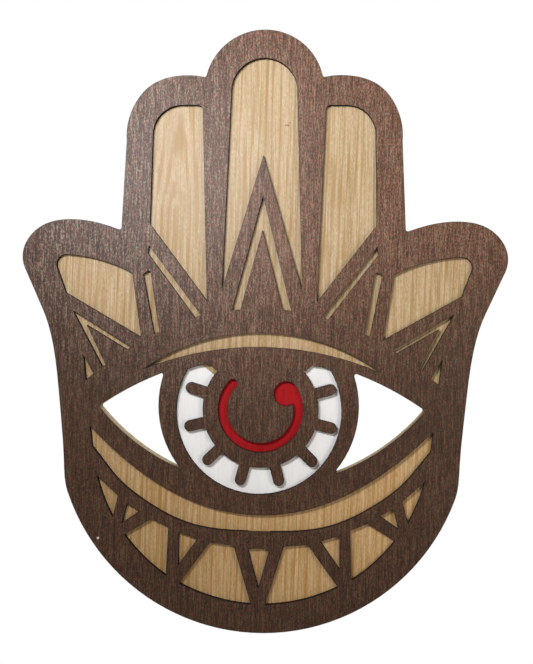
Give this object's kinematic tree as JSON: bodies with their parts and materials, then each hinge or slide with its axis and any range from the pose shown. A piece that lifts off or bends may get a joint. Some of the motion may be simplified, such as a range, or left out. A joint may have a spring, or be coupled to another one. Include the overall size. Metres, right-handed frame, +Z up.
{
  "type": "wall ornament",
  "caption": "Hand-shaped wall ornament of stacked wood sheets with an eye in its palm, hung from a sawtooth hanger.",
  "frame": {"origin": "the top of the hanger's middle notch, in the plane of the wall, where the wall nail carries the ornament", "axes": "+Z up the hand towards the fingertips, +X to the viewer's right, +Y into the wall, so the decorated face looks along -Y"},
  "size_m": [0.2418, 0.0122, 0.3],
  "materials": {
    "dark_wood": "satin dark stained face veneer",
    "light_wood": "satin clear coated light veneer",
    "back_wood": "plain sanded plywood",
    "white_paint": "matt white paint on wood",
    "red_paint": "matt red paint on wood",
    "hanger_steel": "zinc plated pressed steel",
    "nail_steel": "bright steel",
    "pad_rubber": "soft matt rubber"
  },
  "bodies": {
    "root": {"front_fret": "dark_wood", "light_board": "light_wood", "white_iris_ring": "white_paint", "red_pupil_curl": "red_paint", "back_panel": "back_wood", "sawtooth_hanger": "hanger_steel", "left_hanger_nail": "nail_steel", "right_hanger_nail": "nail_steel", "left_bumper": "pad_rubber", "right_bumper": "pad_rubber"}
  },
  "joints": []
}
